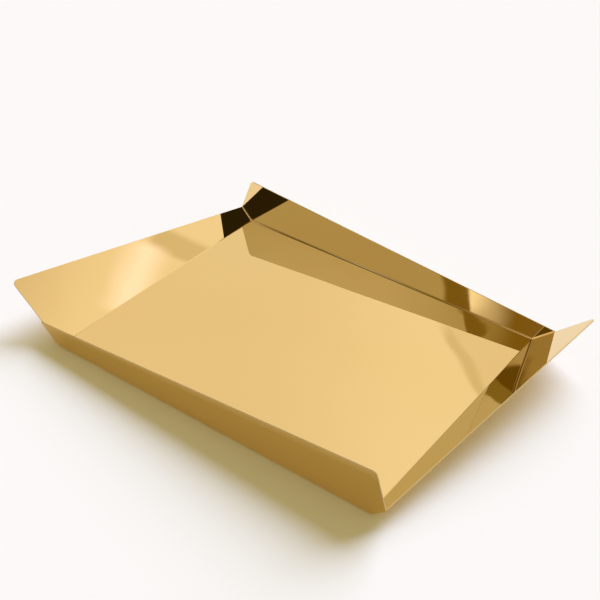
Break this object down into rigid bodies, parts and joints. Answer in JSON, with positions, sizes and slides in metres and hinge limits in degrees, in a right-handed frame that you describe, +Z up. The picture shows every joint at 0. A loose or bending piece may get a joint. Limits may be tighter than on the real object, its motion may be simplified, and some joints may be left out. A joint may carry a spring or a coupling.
{
  "type": "serving tray",
  "caption": "Serving tray folded from mirror-polished gold-coloured sheet metal, with upright and flared walls that each rise along their length to a raised tip.",
  "frame": {"origin": "on the surface the tray stands on, under the centre of its floor", "axes": "+X along the front and back walls, towards the right side wall's flare; +Y from the front wall to the back wall; +Z up, out of the open top"},
  "size_m": [0.4646, 0.3054, 0.0511],
  "materials": {
    "polished_gold": "mirror polished, with faint waves left by folding"
  },
  "bodies": {
    "root": {"base_panel": "polished_gold", "front_bend": "polished_gold", "front_wall": "polished_gold", "right_bend": "polished_gold", "right_wall": "polished_gold", "back_bend": "polished_gold", "back_wall": "polished_gold", "left_bend": "polished_gold", "left_wall": "polished_gold"}
  },
  "joints": []
}
